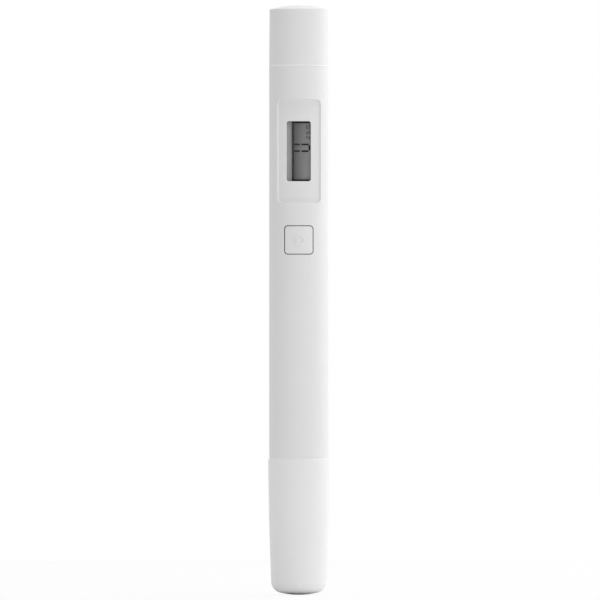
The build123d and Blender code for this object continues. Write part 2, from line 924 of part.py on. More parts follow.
def cell_can(bottom_z):
    can = bar(cell_radius, bottom_z + cell_cap_rise, bottom_z + cell_height)
    can = chamfer(level_edges(can, bottom_z + cell_height), cell_shoulder_bevel)
    can = chamfer(level_edges(can, bottom_z + cell_cap_rise), cell_crimp_bevel)
    well_radius = cell_cap_radius + cell_seal_width + 2 * cell_fit
    return can - bar(well_radius, bottom_z, bottom_z + cell_cap_depth + cell_fit)


def cell_seal(bottom_z):
    inner = cell_cap_radius + cell_fit
    return ring(inner + cell_seal_width, inner, bottom_z + cell_cap_rise, bottom_z + cell_cap_depth)


def cell_cap(bottom_z):
    cap = bar(cell_cap_radius, bottom_z, bottom_z + cell_cap_depth)
    return chamfer(level_edges(cap, bottom_z), cell_cap_bevel)


def all_pieces():
    left_x, right_x = around(0, pin_spacing)
    return {
        "main_tube": main_tube(),
        "probe_cap": probe_cap(),
        "battery_cap": battery_cap(),
        "display_window": display_window(),
        "display_mask": display_mask(),
        "front_polarizer": front_polarizer(),
        "lcd_front_glass": lcd_front_glass(),
        "lcd_rear_glass": lcd_rear_glass(),
        "rear_reflector": rear_reflector(),
        "display_cushion": display_cushion(),
        "zebra_strip": zebra_strip(),
        "display_holder": display_holder(),
        "push_button": push_button(),
        "button_guide": button_guide(),
        "switch_base": switch_base(),
        "switch_cover": switch_cover(),
        "switch_plunger": switch_plunger(),
        "switch_legs": switch_legs(),
        "circuit_board": circuit_board(),
        "processor_chip": chip(processor_width, processor_length, processor_z),
        "processor_leads": chip_leads(processor_width, processor_z, processor_leads_a_side),
        "amplifier_chip": chip(amplifier_width, amplifier_length, amplifier_z),
        "amplifier_leads": chip_leads(amplifier_width, amplifier_z, amplifier_leads_a_side),
        "timing_crystal": timing_crystal(),
        "chip_resistors": passive_row(passive_x, crystal_z, resistor_count),
        "chip_capacitors": passive_row(-passive_x, processor_z, capacitor_count),
        "chassis": chassis(),
        "chassis_screws": chassis_screws(),
        "probe_housing": probe_housing(),
        "housing_ring": rubber_ring(plug_ring_radius, plug_ring_z),
        "left_probe_pin": probe_pin(left_x),
        "right_probe_pin": probe_pin(right_x),
        "temperature_sleeve": temperature_sleeve(),
        "thermistor_bead": thermistor_bead(),
        "sensor_wires": sensor_wires(),
        "pin_solder": solder_joints(pin_radius, pin_spacing, solder_width),
        "wire_solder": solder_joints(wire_radius, wire_spacing, wire_solder_width),
        "battery_holder": battery_holder(),
        "battery_cap_ring": rubber_ring(cap_ring_radius, cap_ring_z),
        "battery_strip": battery_strip(),
        "battery_leaf": battery_leaf(),
        "lower_cell_can": cell_can(lower_cell_z),
        "lower_cell_seal": cell_seal(lower_cell_z),
        "lower_cell_cap": cell_cap(lower_cell_z),
        "upper_cell_can": cell_can(upper_cell_z),
        "upper_cell_seal": cell_seal(upper_cell_z),
        "upper_cell_cap": cell_cap(upper_cell_z),
    }


os.makedirs("parts", exist_ok=True)
for name, piece in all_pieces().items():
    export_step(piece, f"parts/{name}.step")
    print(name, "solids", len(piece.solids()), "volume", round(piece.volume, 2))
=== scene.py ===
import math

import bmesh
import bpy
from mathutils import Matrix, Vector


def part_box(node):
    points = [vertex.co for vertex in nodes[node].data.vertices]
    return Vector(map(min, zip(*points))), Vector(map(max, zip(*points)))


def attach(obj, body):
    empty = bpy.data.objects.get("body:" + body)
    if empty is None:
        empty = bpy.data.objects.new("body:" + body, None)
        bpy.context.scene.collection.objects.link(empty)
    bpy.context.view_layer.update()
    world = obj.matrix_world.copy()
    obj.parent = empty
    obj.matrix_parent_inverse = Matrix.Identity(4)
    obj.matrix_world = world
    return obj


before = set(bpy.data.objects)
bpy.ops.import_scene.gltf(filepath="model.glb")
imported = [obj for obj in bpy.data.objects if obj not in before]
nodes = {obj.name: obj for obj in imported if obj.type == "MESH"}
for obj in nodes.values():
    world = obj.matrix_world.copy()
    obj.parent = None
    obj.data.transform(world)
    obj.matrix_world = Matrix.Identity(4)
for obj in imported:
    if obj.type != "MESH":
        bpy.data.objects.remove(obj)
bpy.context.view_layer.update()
to_mm = 1000.0
print("The pen arrives as", len(nodes), "pieces")

# %% [markdown]
# # A water test pen, finished in Blender
# The pen is a white moulded tube as thick as a finger. A pull-off cap covers its probe, a second
# cap closes the battery end, and a small liquid crystal display lies in a curved recess above
# one square key. Its solids arrive from the frame and stay where they are. This lesson gives each
# of them a finish, adds what is printed or raised on them, and sets up a plain white studio.
#
# The solids could be modelled again here, but then the finishes and the joints would no longer
# share one set of sizes. So the lesson only adds to them.
#
# Sizes are written in millimetres, as on a drawing, and are divided by to_mm where Blender wants
# metres. Only the studio round the pen is written in metres.

# %% [markdown]
# ## Sums on sockets
# A finish is mostly sums: this grain times that mask, plus a little. Adding every Math node by
# hand hides the sum, so one small class wraps a socket and lets Python's own signs add the
# nodes. Any other node comes from one method, which takes its type, its settings and its inputs.

# %% A socket that can be used in sums
class Wire:
    """One output socket of a node tree."""

    def __init__(self, tree, socket=None):
        self.tree = tree
        self.socket = socket

    def node(self, kind, settings=None, inputs=None, output=0):
        """Adds a node and gives one of its outputs. Settings go first, then the inputs.
        A node that ends a tree has no output to give."""
        made = self.tree.nodes.new(kind)
        for name, value in (settings or {}).items():
            if name == "stops":
                ramp_stops(made.color_ramp, value)
            else:
                setattr(made, name, value)
        for name, value in (inputs or {}).items():
            if isinstance(value, Wire):
                self.tree.links.new(value.socket, made.inputs[name])
            else:
                made.inputs[name].default_value = value
        return Wire(self.tree, made.outputs[output] if made.outputs else None)

    def maths(self, operation, *values):
        return self.node("ShaderNodeMath", {"operation": operation}, dict(enumerate(values)))

    def __add__(self, other):
        return self.maths("ADD", self, other)

    def __sub__(self, other):
        return self.maths("SUBTRACT", self, other)

    def __rsub__(self, other):
        return self.maths("SUBTRACT", other, self)

    def __mul__(self, other):
        return self.maths("MULTIPLY", self, other)

    def __gt__(self, other):
        return self.maths("GREATER_THAN", self, other)

    def __lt__(self, other):
        return self.maths("LESS_THAN", self, other)

    __radd__ = __add__
    __rmul__ = __mul__


def ramp_stops(ramp, stops):
    """Gives a colour ramp its stops as (place, grey or colour)."""
    while len(ramp.elements) < len(stops):
        ramp.elements.new(0.5)
    for element, (place, colour) in zip(ramp.elements, stops):
        element.position = place
        element.color = shade(colour)


def shade(colour):
    """A colour with alpha, from one grey value or three."""
    if isinstance(colour, (int, float)):
        colour = (colour, colour, colour)
    return (*colour, 1.0)


# %% [markdown]
# ## Places in millimetres
# Every solid keeps its place in its mesh, so its object coordinates are the same as the frame's.
# Measured in millimetres they read like a drawing: a stripe at z 113.6 is at the display's
# middle. Generated coordinates would stretch with each piece and say nothing about its size.

# %% A new finish, its place in millimetres, and the nodes that every finish uses
def fresh_tree(owner):
    """The emptied node tree of a material or a world, as a Wire to add nodes from."""
    owner.use_nodes = True
    owner.node_tree.nodes.clear()
    return Wire(owner.node_tree)


def new_finish(name):
    """An empty material, and the place on the piece in millimetres."""
    material = bpy.data.materials.new(name)
    metres = fresh_tree(material).node("ShaderNodeTexCoord", output="Object")
    place = metres.node(
        "ShaderNodeVectorMath", {"operation": "SCALE"}, {"Vector": metres, "Scale": to_mm}
    )
    return material, place


def axis(place, letter):
    """The x, y or z of a place."""
    return place.node("ShaderNodeSeparateXYZ", None, {0: place}, letter)


def stretched(place, x, y, z):
    """A place with each axis times its own number, for grain that runs one way."""
    settings = {"operation": "MULTIPLY"}
    return place.node("ShaderNodeVectorMath", settings, {0: place, 1: (x, y, z)})


def noise(place, scale, detail=2.0):
    """Soft noise from 0 to 1, with that many lumps to the millimetre."""
    inputs = {"Vector": place, "Scale": scale, "Detail": detail}
    return place.node("ShaderNodeTexNoise", None, inputs)


def cells(place, scale, feature="F1"):
    """Distance in a pattern of cells, with that many cells to the millimetre."""
    inputs = {"Vector": place, "Scale": scale}
    return place.node("ShaderNodeTexVoronoi", {"feature": feature}, inputs)


def blend(amount, first, second):
    """A colour between two colours."""
    ends = [c if isinstance(c, Wire) else shade(c) for c in (first, second)]
    inputs = {0: amount, 6: ends[0], 7: ends[1]}
    return amount.node("ShaderNodeMix", {"data_type": "RGBA"}, inputs, output=2)


def relief(height, depth, strength=1.0):
    """A normal from a height of 0 to 1 that stands for depth in millimetres."""
    inputs = {"Strength": strength, "Distance": depth / to_mm, "Height": height}
    return height.node("ShaderNodeBump", None, inputs)


def surface(material, place, **values):
    """Ends a finish with one Principled shader. Values that stay the same sit on its sockets."""
    inputs = {name.replace("_", " "): value for name, value in values.items()}
    for name, value in inputs.items():
        if name.endswith("Color") and not isinstance(value, Wire):
            inputs[name] = shade(value)
    shader = place.node("ShaderNodeBsdfPrincipled", None, inputs)
    place.node("ShaderNodeOutputMaterial", None, {"Surface": shader})
    return material


finishes = {}

# %% [markdown]
# ## White moulded shells
# The tube, both caps and the key are a white ABS plastic with a satin mould texture: dozens of
# fine pits to the centimetre that break up any reflection. Up close the plastic is not one
# white. Pigment drifts a little in the melt, and the satin wears glossier where a hand holds it.
#
# The pits could be displaced geometry, but they are 0.01 mm deep, so a bump is enough. The
# drift in tone and in gloss comes from one slow noise, kept under a few percent. The probe cap
# is a little whiter. The lips in the seams are whiter still: that is a painted highlight, the
# light that the rounded edges of the seams catch.

# %% The satin white of the shells, the caps and the key
def satin_white(name, tone, gloss):
    material, place = new_finish(name)
    drift = noise(place, 0.09, 3.0)
    pits = noise(place, 5.0, 3.0)
    specks = cells(place, 0.9) < 0.035
    dark = tuple(0.965 * part for part in tone)
    white = blend(specks * 0.22, blend(drift, dark, tone), 0.55)
    return surface(
        material, place,
        Base_Color=white,
        Roughness=gloss + 0.12 * pits - 0.08 * drift,
        Normal=relief(pits, 0.012, 0.35),
        Specular_IOR_Level=0.4,
    )


finishes["white_shell"] = satin_white("white_shell", (0.80, 0.80, 0.80), 0.46)
finishes["white_cap"] = satin_white("white_cap", (0.80, 0.80, 0.80), 0.44)
finishes["white_key"] = satin_white("white_key", (0.81, 0.81, 0.81), 0.44)
probe_cap_finish = satin_white("probe_cap_white", (0.85, 0.85, 0.85), 0.42)
# The lips' whiter tone is a painted highlight along the seams.
lip_painted_highlight = satin_white("lip_white", (0.95, 0.95, 0.95), 0.42)
print("White shells:", list(finishes), "and two for the probe cap and the lips")

# %% [markdown]
# ## Plain plastic inside
# Parts that nobody sees are moulded without texture or much pigment. They are a warmer white,
# shinier, and show flow lines along the length of the mould where the melt ran.
# A noise that is stretched along the pen gives those lines better than a wave texture, whose
# lines would all be equally far apart.

# %% The inner frames, the probe housing and the battery holder
def flowed_plastic(name, tone, line_tone, gloss):
    material, place = new_finish(name)
    lines = noise(stretched(place, 1.0, 1.0, 0.12), 1.4, 4.0)
    grit = noise(place, 7.0)
    return surface(
        material, place,
        Base_Color=blend(lines, line_tone, tone),
        Roughness=gloss + 0.10 * grit,
        Normal=relief(lines, 0.01, 0.4),
    )


finishes["white_inner_plastic"] = flowed_plastic(
    "white_inner_plastic", (0.79, 0.785, 0.76), (0.74, 0.735, 0.70), 0.30
)
finishes["black_plastic"] = flowed_plastic(
    "black_plastic", (0.022, 0.022, 0.023), (0.014, 0.014, 0.015), 0.38
)
finishes["cell_seal"] = flowed_plastic(
    "cell_seal", (0.06, 0.055, 0.05), (0.04, 0.04, 0.038), 0.42
)
print("Inner plastics are done")

# %% [markdown]
# ## The clear window
# The window is a polished acrylic lens, glued in flush with the floor of the recess. A glass
# shader would be right in theory, but it blocks the lamps' direct light and leaves the display
# behind it dark and noisy. Alpha lets the light through. Seen straight on a clear sheet shows
# almost nothing, and seen at a slant it turns into a mirror, so a Fresnel node drives the alpha.

# %% Acrylic that shows itself only at a slant
material, place = new_finish("clear_lens")
slant = place.node("ShaderNodeFresnel", None, {"IOR": 1.49})
hairlines = noise(stretched(place, 6.0, 6.0, 0.4), 1.0, 3.0)
smudge = noise(place, 0.25, 2.0)
finishes["clear_lens"] = surface(
    material, place,
    Base_Color=0.9,
    Alpha=0.9 * (slant - 0.036) + 0.01 * smudge,
    Roughness=0.03 + 0.05 * hairlines + 0.05 * smudge,
    Normal=relief(hairlines, 0.001, 0.2),
)
print("The window is done")

# %% [markdown]
# ## The display's layers
# A reflective display is a sandwich: printed mask, polarising film, two sheets of glass with the
# liquid crystal between them, and a silvery film at the back. It has no light of its own. What
# shows is a grey that gets darker to the left, where the edge of the recess keeps the light off.
#
# The film could be see-through with the real layers behind it, but each layer would add noise
# and the grey would depend on the lamps. So the film carries the grey itself, with a ramp across
# the window, a slight drift along it, and the grain of the reflector. Most of the shade from the
# edge is in the ramp, so it stays there when the light comes from elsewhere.

# %% The film that carries the display's grey
film_left, film_width = -1.25, 4.6
film_foot, film_height = 106.0, 16.0
material, place = new_finish("polarizer_film")
across = (axis(place, "X") - film_left) * (1 / film_width)
grey = across.node(
    "ShaderNodeValToRGB",
    {"stops": [(0.0, 0.19), (0.1, 0.235), (0.43, 0.40), (0.77, 0.64), (1.0, 0.68)]},
    {"Fac": across},
)
sparkle = noise(place, 9.0, 3.0)
higher = (axis(place, "Z") - film_foot) * (1 / film_height)
finishes["polarizer_film"] = surface(
    material, place,
    Base_Color=blend(0.12 * sparkle + 0.16 * higher, grey, 0.12),
    Roughness=0.34 + 0.1 * sparkle,
    Specular_IOR_Level=0.08,
)
print("The film's grey runs over", film_width, "mm")

# %% [markdown]
# ## The rail beside the film
# At the left of the display the holder's white rail shows through the window. It stands deep
# behind the edge of the recess, where little light gets. The lamps draw most of that shade, but
# they leave the rail too even. So the finish darkens it in a band, which is darkest where the
# rail meets the mask and fades out over the rail's width.

# %% The holder's rail, in the shade of the mask's edge
shade_middle, shade_reach = -1.75, 1.35
material, place = new_finish("shaded_rail")
x = axis(place, "X")
shaded = 1 - x.maths("ABSOLUTE", x - shade_middle) * (1 / shade_reach)
rail_lines = noise(stretched(place, 1.0, 1.0, 0.12), 1.4, 4.0)
rail_white = blend(rail_lines, (0.85, 0.85, 0.84), (0.88, 0.88, 0.87))
rail_finish = surface(
    material, place,
    Base_Color=blend(shaded, rail_white, 0.36),
    Roughness=0.34 + 0.1 * rail_lines,
)
print("The rail is done")

# %% [markdown]
# ## Mask, glass, reflector and ink
# The mask is black screen print with a slight orange peel. Its narrow bar at the left is a dark
# grey instead of black: painted shade, the soft shadow line along the edge of the display. The
# glass has a faint grid of electrodes and looks green at a slant. The reflector is brushed silver
# film, and the digits are a dark, slightly uneven grey, because a liquid crystal is never quite
# black.
#
# The bar's painted shade could be a piece of its own, but it is one finish. A box in x and z marks
# it.

# %% The printed mask, the glass, the back film and the digits' ink
shadow_line_edge = -1.2
window_middle, half_window = 113.55, 7.15
material, place = new_finish("black_mask")
peel = noise(place, 3.0, 2.0)
z = axis(place, "Z")
# The left bar's dark grey is painted shade, a soft shadow line beside the display.
painted_shadow_line = (axis(place, "X") < shadow_line_edge) * (
    z.maths("ABSOLUTE", z - window_middle) < half_window
)
finishes["black_mask"] = surface(
    material, place,
    Base_Color=blend(painted_shadow_line * 0.07, blend(peel, 0.007, 0.013), 0.6),
    Roughness=0.42 + 0.12 * peel,
    Normal=relief(peel, 0.004, 0.3),
    Specular_IOR_Level=0.3,
)

material, place = new_finish("display_glass")
slant = place.node("ShaderNodeFresnel", None, {"IOR": 1.52})
grid = place.node(
    "ShaderNodeTexBrick", {"offset": 0.0},
    {"Vector": stretched(place, 1.0, 0.0, 1.0), "Scale": 1.0, "Mortar Size": 0.03,
     "Color1": shade(0.62), "Color2": shade(0.58), "Mortar": shade(0.45)},
)
finishes["display_glass"] = surface(
    material, place,
    Base_Color=blend(slant, grid, (0.50, 0.66, 0.58)),
    Alpha=0.35 + 0.6 * slant,
    Roughness=0.06 + 0.04 * noise(place, 1.5),
)

material, place = new_finish("reflector_film")
brushed = noise(stretched(place, 1.0, 1.0, 14.0), 1.2, 3.0)
finishes["reflector_film"] = surface(
    material, place,
    Base_Color=blend(brushed, 0.55, 0.68),
    Metallic=0.85,
    Roughness=0.34 + 0.15 * brushed,
    Normal=relief(brushed, 0.003, 0.4),
)

material, place = new_finish("segment_ink")
fringe = noise(place, 4.0, 2.0)
ink = surface(
    material, place,
    Base_Color=blend(fringe, 0.030, 0.046),
    Roughness=0.36 + 0.1 * fringe,
    Specular_IOR_Level=0.08,
)
print("Display layers are done")

# %% [markdown]
# ## Foam and rubber
# A strip of closed-cell foam pushes the display forward, a striped rubber strip carries the
# contacts from the glass to the board, and two black rings seal the housing and the battery cap.
# Foam is a pattern of round cells, so a Voronoi texture fits it. The striped strip alternates
# clear and carbon-filled rubber every 0.1 mm along its length, which is one folded ramp.

# %% The cushion, the striped contact strip and the sealing rings
stripe = 0.1
core_middle, half_core = -3.0, 0.35
material, place = new_finish("white_foam")
pores = cells(place, 4.0)
finishes["white_foam"] = surface(
    material, place,
    Base_Color=blend(pores, (0.80, 0.80, 0.77), (0.62, 0.62, 0.59)),
    Roughness=0.8 + 0.15 * pores,
    Normal=relief(pores, 0.12, 0.7),
)

material, place = new_finish("zebra_rubber")
x, z = axis(place, "X"), axis(place, "Z")
carbon = z.maths("PINGPONG", z, stripe) > stripe / 2
core = x.maths("ABSOLUTE", x - core_middle) < half_core
finishes["zebra_rubber"] = surface(
    material, place,
    Base_Color=blend(carbon * core, (0.52, 0.50, 0.47), (0.015, 0.015, 0.016)),
    Roughness=0.42 + 0.15 * noise(place, 5.0),
)

material, place = new_finish("black_rubber")
dust = noise(place, 2.2, 4.0)
finishes["black_rubber"] = surface(
    material, place,
    Base_Color=blend(dust, (0.016, 0.016, 0.017), (0.034, 0.033, 0.032)),
    Roughness=0.52 + 0.2 * dust,
    Normal=relief(noise(place, 9.0), 0.01, 0.5),
)
print("Foam and rubber are done")

# %% [markdown]
# ## Metals
# Each metal is the same idea with another grain: rolled sheet has straight fine lines along the
# roll, turned pins and cans have rings round the axis, plated brass is nearly smooth, and solder
# is a bright dull-spotted lump. Anisotropic shading could give the streak of light across the
# grain, but it needs tangents on every piece. Stretched noise in the roughness and in the bump
# gives nearly the same streak on parts this small.

# %% One function for grained metal, and the pen's seven metals
def metal(name, tone, grain, lumps, gloss, depth=0.004, stain=None):
    """grain is how much each axis is stretched, and lumps how many lines to the millimetre."""
    material, place = new_finish(name)
    lines = noise(stretched(place, *grain), lumps, 4.0)
    clouds = noise(place, 0.35, 3.0)
    low = tuple(0.82 * part for part in tone)
    colour = blend(lines, low, tone)
    colour = blend(clouds * 0.35, colour, stain or low)
    return surface(
        material, place,
        Base_Color=colour,
        Metallic=1.0,
        Roughness=gloss + 0.14 * lines + 0.08 * clouds,
        Normal=relief(lines, depth, 0.5),
    )


steel = (0.62, 0.61, 0.60)
finishes["sheet_steel"] = metal("sheet_steel", (0.66, 0.65, 0.63), (1, 1, 0.1), 6.0, 0.24)
finishes["contact_steel"] = metal("contact_steel", (0.68, 0.66, 0.61), (1, 1, 0.1), 5.0, 0.22)
finishes["cell_steel"] = metal("cell_steel", steel, (0.15, 0.15, 9.0), 2.0, 0.2)
finishes["screw_steel"] = metal("screw_steel", (0.52, 0.51, 0.50), (1, 6, 1), 3.0, 0.3)
finishes["tinned_brass"] = metal("tinned_brass", (0.70, 0.69, 0.66), (1, 1, 1), 4.0, 0.26)
finishes["solder"] = metal("solder", (0.72, 0.72, 0.72), (1, 1, 1), 3.0, 0.3, 0.02)
finishes["probe_titanium"] = metal(
    "probe_titanium", (0.50, 0.49, 0.475), (0.2, 0.2, 9.0), 2.0, 0.3, stain=(0.42, 0.40, 0.39)
)
print("Metals are done, with", len(finishes), "finishes so far")

# %% [markdown]
# ## The circuit board
# The board is a sheet of green glass-fibre laminate, 1 mm thick. Copper tracks show through
# the green lacquer as lighter lines, tinned pads sit under the leads, and the sawn edge shows
# the bare fibre. A brick texture with wide joints looks like routed tracks at once: its joints
# are runs along the board that step sideways. The y of a place tells a face from the edge.

# %% Laminate with tracks, pads and a bare edge
board_middle, half_board = 1.4, 0.47
material, place = new_finish("board_laminate")
y = axis(place, "Y")
runs = place.node("ShaderNodeCombineXYZ", None, {"X": axis(place, "Z"), "Y": axis(place, "X")})
tracks = place.node(
    "ShaderNodeTexBrick", {"offset": 0.37},
    {"Vector": runs, "Scale": 1.0, "Mortar Size": 0.16, "Brick Width": 7.0,
     "Row Height": 0.9, "Color1": shade(0.0), "Color2": shade(0.0), "Mortar": shade(1.0)},
)
broken = noise(place, 0.3, 1.0) > 0.47
lacquer = blend(tracks * broken, (0.006, 0.085, 0.030), (0.018, 0.170, 0.060))
dots = cells(place, 0.35) < 0.13
on_face = y.maths("ABSOLUTE", y - board_middle) > half_board
pads = blend(dots * on_face, lacquer, (0.60, 0.57, 0.48))
fibre = blend(noise(stretched(place, 1, 8, 0.3), 3.0), (0.32, 0.34, 0.14), (0.50, 0.52, 0.26))
finishes["board_laminate"] = surface(
    material, place,
    Base_Color=blend(on_face, fibre, pads),
    Roughness=0.26 + 0.45 * (1 - on_face) + 0.06 * noise(place, 2.0),
    Metallic=dots * on_face * 0.8,
    Normal=relief(tracks * broken, 0.035, 0.6),
)
print("The board is done")

# %% [markdown]
# ## Chips and the small parts beside them
# A chip's body is black resin, sand-textured by its mould, with one round dimple that marks its
# first lead. The chip resistors and capacitors in the two rows have tinned ends. Those ends are
# not solids of their own, and do not have to be: the rows have an even pitch, so the distance to
# the nearest middle, which a folded ramp gives, says where body stops and tin starts.

# %% Resin, and rows of parts with tinned ends
row_pitch, half_body = 3.3, 0.5
dimple_radius = 0.32


def resin(name, marks):
    """Black resin with a dimple at each (x, z)."""
    material, place = new_finish(name)
    sand = noise(place, 6.0, 3.0)
    dimple = 0.0
    for mark_x, mark_z in marks:
        spot = place.node("ShaderNodeVectorMath", {"operation": "DISTANCE"},
                          {0: stretched(place, 1, 0, 1), 1: (mark_x, 0.0, mark_z)}, "Value")
        dimple = (spot < dimple_radius) + dimple
    return surface(
        material, place,
        Base_Color=blend(sand, 0.012, 0.026),
        Roughness=0.52 + 0.12 * sand - 0.25 * dimple,
        Normal=relief(sand - 4 * dimple, 0.02, 0.6),
    )


def tinned_row(name, middle_z, body_tone, edge_tone):
    """A row of small parts along the pen, from the z of the middle one."""
    material, place = new_finish(name)
    z = axis(place, "Z")
    off_middle = z.maths("PINGPONG", z - middle_z, row_pitch / 2)
    tin = off_middle > half_body
    grain = noise(place, 6.0, 3.0)
    return surface(
        material, place,
        Base_Color=blend(tin, blend(grain, edge_tone, body_tone), (0.70, 0.69, 0.66)),
        Metallic=tin * 0.9,
        Roughness=0.38 + 0.15 * grain,
    )


finishes["chip_resin"] = resin("chip_resin", [(-1.4, 71.6), (-1.9, 84.5)])
finishes["capacitor_ceramic"] = tinned_row(
    "capacitor_ceramic", 80.75, (0.42, 0.30, 0.17), (0.36, 0.25, 0.14)
)
resistor_finish = tinned_row("resistor_body", 74.25, (0.03, 0.03, 0.032), (0.018, 0.018, 0.02))
print("Resin and tinned rows are done")

# %% [markdown]
# ## The sensor's bead and its wires
# The thermistor is a bead of amber glass with faint swirls and a clear coat. Of its two wires one
# is black and one is red. They could be two finishes, but both wires are one solid set, and they
# lie on either side of the pen's middle, so the sign of x tells them apart.

# %% Amber glass, and one jacket in two colours
material, place = new_finish("bead_glass")
swirl = noise(place, 2.5, 3.0)
finishes["bead_glass"] = surface(
    material, place,
    Base_Color=blend(swirl, (0.16, 0.045, 0.010), (0.30, 0.10, 0.025)),
    Roughness=0.06 + 0.08 * swirl,
    Coat_Weight=0.6,
)

material, place = new_finish("wire_jacket")
# The lighter streaks blended into the jacket's colour are a painted sheen.
painted_sheen = noise(stretched(place, 1, 1, 0.2), 5.0, 2.0)
wire_tone = blend(axis(place, "X") > 0.0, (0.012, 0.012, 0.013), (0.42, 0.022, 0.014))
finishes["wire_jacket"] = surface(
    material, place,
    Base_Color=blend(0.12 * painted_sheen, wire_tone, 0.3),
    Roughness=0.34 + 0.12 * painted_sheen,
)
print("Finishes:", len(finishes))

# %% [markdown]
# ## Dressing the solids
# Each solid came with a flat material named after its slot in the record. Looking the finish up
# by that name dresses all of them in one loop, and a name without a finish would stop it here.
# Three solids differ from the others in their slot: the resistors need their tinned ends, the
# probe cap its own white, and the display's holder the shade on its rail.

# %% Give every solid its finish
for solid in nodes.values():
    for slot in solid.material_slots:
        slot.material = finishes[slot.material.name.split(".")[0]]
own_finishes = {
    "chip_resistors": resistor_finish, "probe_cap": probe_cap_finish, "display_holder": rail_finish
}
for name, finish in own_finishes.items():
    nodes[name].material_slots[0].material = finish
print("Dressed", len(nodes), "solids in", len(finishes) + len(own_finishes), "finishes")

# %% [markdown]
# ## Pieces that the solids don't have
# Everything added from here on is a real mesh, made from its own few points. A mesh could be
# drawn by hand or with modifiers, but points in millimetres can be read like a drawing and
# compared with the solids' own boxes. Each new piece gets a finish, the slot it belongs to and
# the body it rides on.

# %% From points to a linked object
def new_object(name, mesh, material):
    """Links a finished mesh to the scene, with one material."""
    data = bpy.data.meshes.new(name)
    mesh.to_mesh(data)
    mesh.free()
    data.materials.append(material)
    made = bpy.data.objects.new(name, data)
    bpy.context.scene.collection.objects.link(made)
    return made


def new_piece(name, mesh, material, body):
    """A new part of the pen, with its faces turned outwards."""
    bmesh.ops.recalc_face_normals(mesh, faces=mesh.faces)
    piece = new_object(name, mesh, material)
    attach(piece, body)
    print(name, "has", len(piece.data.polygons), "faces and rides on", body)
    return piece


# %% [markdown]
# ## The digits on the display
# The pen reads 0, with a small second reading beside it. The digits lie on their side: they read
# from the probe end to the battery end, with their tops to the left. Each is built from the seven
# bars that every such display uses, with slanted ends so that a hair of grey stays between them.
#
# A text object would bring a typeface with round strokes. Bars cut from their own outlines keep
# the look of an etched electrode, and each is a real plate 0.012 mm thick, on top of the film.

# %% Seven bars, and which of them each digit needs
film_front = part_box("front_polarizer")[0][1] * to_mm
bar_front, bar_thickness = film_front - 0.017, 0.012
mask_bar_right = -1.22
bars_of = {"0": "abcdef", "2": "abged", "5": "afgcd"}


def bar_outlines(left, right, foot, head, width, gap):
    """Outlines of the seven bars a to g in the digit's own upright frame."""
    middle = (foot + head) / 2
    half = width / 2

    def lying(y):
        return [(left + gap, y), (left + gap + half, y + half), (right - gap - half, y + half),
                (right - gap, y), (right - gap - half, y - half), (left + gap + half, y - half)]

    def standing(x, low, high):
        return [(x, low + gap), (x + half, low + gap + half), (x + half, high - gap - half),
                (x, high - gap), (x - half, high - gap - half), (x - half, low + gap + half)]

    return {
        "a": lying(head), "g": lying(middle), "d": lying(foot),
        "f": standing(left, middle, head), "b": standing(right, middle, head),
        "e": standing(left, foot, middle), "c": standing(right, foot, middle),
    }


def bars(name, outlines):
    """Flat plates on the film from (x, z) outlines in millimetres, facing the viewer."""
    mesh = bmesh.new()
    for outline in outlines:
        front = [mesh.verts.new((x / to_mm, bar_front / to_mm, z / to_mm)) for x, z in outline]
        face = mesh.faces.new(front)
        back = bmesh.ops.extrude_face_region(mesh, geom=[face])
        moved = [v for v in back["geom"] if isinstance(v, bmesh.types.BMVert)]
        bmesh.ops.translate(mesh, verts=moved, vec=(0.0, bar_thickness / to_mm, 0.0))
    return new_piece(name, mesh, ink, "pen")


def on_its_side(outline):
    """Turns an upright outline so that its head points left and it reads upwards."""
    return [(-up, along) for along, up in outline]


# %% The large reading
# The head of its 0 reaches under the mask, so the outlines stop at the mask's bar, as they seem to
# on the real display, and the top bar is left out.
large_bars = bar_outlines(
    left=113.60, right=115.32, foot=-2.70, head=1.75, width=0.45, gap=0.10)
large_outlines = [on_its_side(large_bars[bar]) for bar in bars_of["0"] if bar != "a"]
large_outlines = [[(max(x, mask_bar_right), z) for x, z in outline] for outline in large_outlines]
bars("large_reading", large_outlines)

# %% The small reading, 25.0
small_digit_width = 0.62
small_outlines = []
for digit, left in zip("250", (116.75, 118.00, 119.45)):
    small_bars = bar_outlines(
        left=left, right=left + small_digit_width, foot=-2.84, head=-1.96, width=0.15, gap=0.02)
    small_outlines += [on_its_side(small_bars[bar]) for bar in bars_of[digit]]
point_left, point_right, point_foot, point_head = 118.90, 119.08, -2.92, -2.76
small_outlines.append(on_its_side([
    (point_left, point_foot), (point_right, point_foot),
    (point_right, point_head), (point_left, point_head),
]))
bars("small_reading", small_outlines)

# %% [markdown]
# ## The raised sign on the key
# The key carries a sign so shallow that it shows only as a change of shade. Here it is the plain
# sign for on and off: a ring with a gap, and a stroke in the gap. The key's face is part
# of a cylinder, so a flat sign would sink in at its middle or float at its ends.
#
# Each stroke is therefore a ridge swept along its own line. Every point of its small section is
# put back on the key's radius plus its own height, so the ridge follows the curve. Its foot lies
# just under the face, so that no gap shows below it.

# %% Sweep a low ridge along a line on the key's face
key_radius = -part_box("push_button")[0][1] * to_mm
key_low, key_high = (corner[2] * to_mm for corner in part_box("push_button"))
key_z = (key_low + key_high) / 2
ridge_section = [
    (-0.19, -0.03), (-0.165, 0.07), (-0.11, 0.14), (0.11, 0.14), (0.165, 0.07), (0.19, -0.03)
]


def on_key(x, z, height):
    """A point at that height over the key's curved face, in metres."""
    radius = key_radius + height
    return (x / to_mm, -math.sqrt(radius * radius - x * x) / to_mm, z / to_mm)


